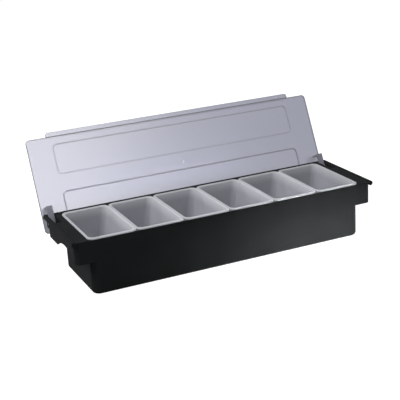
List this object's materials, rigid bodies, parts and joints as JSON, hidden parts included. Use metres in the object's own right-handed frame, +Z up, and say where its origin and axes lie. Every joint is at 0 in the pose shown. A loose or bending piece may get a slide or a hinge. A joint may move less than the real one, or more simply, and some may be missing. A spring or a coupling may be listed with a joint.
{
  "type": "condiment caddy",
  "caption": "Long rectangular garnish tray with hollow end rails, lift-out tapered inserts in a row and one clear lid hinged along the back.",
  "frame": {"origin": "middle of the tray's flat underside, on the surface that it stands on", "axes": "+X along the tray's length, -Y towards the front edge that the user faces, +Z up"},
  "size_m": [0.5024, 0.2134, 0.1948],
  "materials": {
    "tray_black": "satin black moulded plastic",
    "insert_white": "milky translucent moulded plastic",
    "lid_clear": "clear plastic with a faint smoky lavender tint"
  },
  "bodies": {
    "base": {"base_tray": "tray_black"},
    "insert_1": {"insert_1": "insert_white"},
    "insert_2": {"insert_2": "insert_white"},
    "insert_3": {"insert_3": "insert_white"},
    "insert_4": {"insert_4": "insert_white"},
    "insert_5": {"insert_5": "insert_white"},
    "insert_6": {"insert_6": "insert_white"},
    "lid": {"lid": "lid_clear"}
  },
  "joints": [
    {"name": "lid_hinge", "type": "hinge", "parent": "base", "child": "lid", "pos_m": [0, 0.0675, 0.0734], "axis": [-1, 0, 0], "range_deg": [-115.5, 0]},
    {"name": "insert_1_lift", "type": "slide", "parent": "base", "child": "insert_1", "axis": [0, 0, 1], "range_m": [0, 0.09]},
    {"name": "insert_2_lift", "type": "slide", "parent": "base", "child": "insert_2", "axis": [0, 0, 1], "range_m": [0, 0.09]},
    {"name": "insert_3_lift", "type": "slide", "parent": "base", "child": "insert_3", "axis": [0, 0, 1], "range_m": [0, 0.09]},
    {"name": "insert_4_lift", "type": "slide", "parent": "base", "child": "insert_4", "axis": [0, 0, 1], "range_m": [0, 0.09]},
    {"name": "insert_5_lift", "type": "slide", "parent": "base", "child": "insert_5", "axis": [0, 0, 1], "range_m": [0, 0.09]},
    {"name": "insert_6_lift", "type": "slide", "parent": "base", "child": "insert_6", "axis": [0, 0, 1], "range_m": [0, 0.09]}
  ]
}
